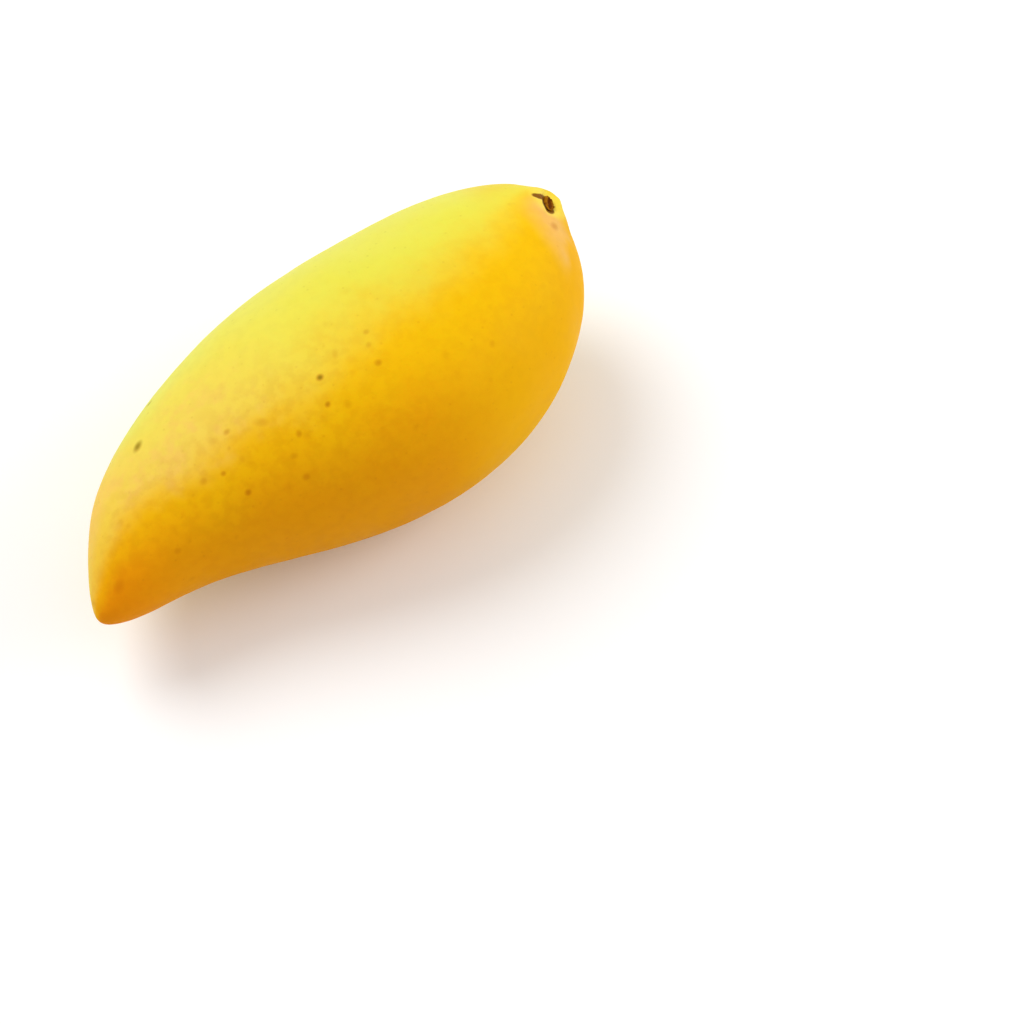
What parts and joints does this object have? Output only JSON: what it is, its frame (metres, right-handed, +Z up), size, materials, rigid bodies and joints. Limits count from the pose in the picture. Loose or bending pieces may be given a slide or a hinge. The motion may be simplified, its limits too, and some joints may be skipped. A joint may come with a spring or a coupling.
{
  "type": "mango",
  "caption": "Whole ripe yellow mango, long and curved with a hooked beak, resting on one cheek, with a dry stub of stalk at its stem end.",
  "frame": {"origin": "middle of the small flat spot on the lower cheek that the fruit rests on", "axes": "+X from the beak to the stem end, +Y to the convex back, +Z up from the surface it rests on"},
  "size_m": [0.1605, 0.0738, 0.0642],
  "materials": {
    "mango_skin": "satin",
    "dry_stalk": "matte"
  },
  "bodies": {
    "root": {"fruit": "mango_skin", "stem_stub": "dry_stalk"}
  },
  "joints": []
}
